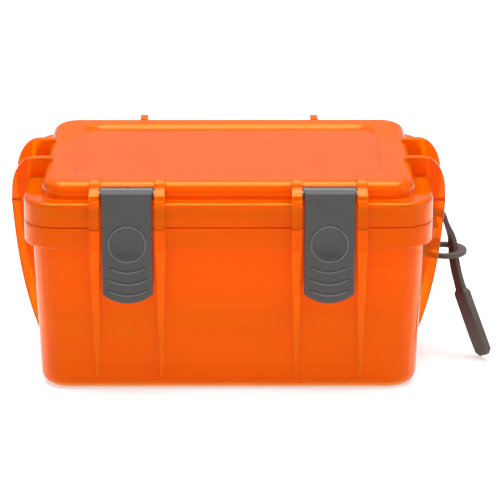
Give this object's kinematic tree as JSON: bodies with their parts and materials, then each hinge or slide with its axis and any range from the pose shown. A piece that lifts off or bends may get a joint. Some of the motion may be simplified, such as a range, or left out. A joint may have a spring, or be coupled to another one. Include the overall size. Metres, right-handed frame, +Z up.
{
  "type": "first aid kit box",
  "caption": "Small watertight box for first aid supplies: clear orange tub, hinged lid with a seal, front latches on pins and a rubber lanyard.",
  "frame": {"origin": "middle of the flat bottom of the tub, where it rests on a table", "axes": "+X to the right along the box, towards the lanyard; +Y to the back, where the hinges are; +Z up through the lid"},
  "size_m": [0.2301, 0.1384, 0.1036],
  "materials": {
    "orange_plastic": "clear tinted polycarbonate, glossy, moulded",
    "seal_rubber": "soft clear silicone, satin",
    "latch_plastic": "warm dark grey ABS, fine satin texture",
    "pin_steel": "plain stainless rod",
    "lanyard_rubber": "moulded warm grey rubber, matte"
  },
  "bodies": {
    "base": {"base_shell": "orange_plastic", "hinge_pin_left": "pin_steel", "hinge_pin_right": "pin_steel"},
    "lid": {"lid_shell": "orange_plastic", "lid_seal": "seal_rubber", "latch_pin_left": "pin_steel", "latch_pin_right": "pin_steel"},
    "latch_left": {"latch_left": "latch_plastic"},
    "latch_right": {"latch_right": "latch_plastic"},
    "lanyard": {"lanyard": "lanyard_rubber"}
  },
  "joints": [
    {"name": "lid_hinge", "type": "hinge", "parent": "base", "child": "lid", "pos_m": [0, 0.0675, 0.0824], "axis": [-1, 0, 0], "range_deg": [0, 110]},
    {"name": "latch_left_swing", "type": "hinge", "parent": "lid", "child": "latch_left", "pos_m": [-0.0467, -0.0606, 0.0983], "axis": [-1, 0, 0], "range_deg": [0, 115]},
    {"name": "latch_right_swing", "type": "hinge", "parent": "lid", "child": "latch_right", "pos_m": [0.0467, -0.0606, 0.0983], "axis": [-1, 0, 0], "range_deg": [0, 115]},
    {"name": "lanyard_swing", "type": "hinge", "parent": "base", "child": "lanyard", "pos_m": [0.0996, 0, 0.0659], "axis": [0, -1, 0], "range_deg": [-9, 8]}
  ]
}
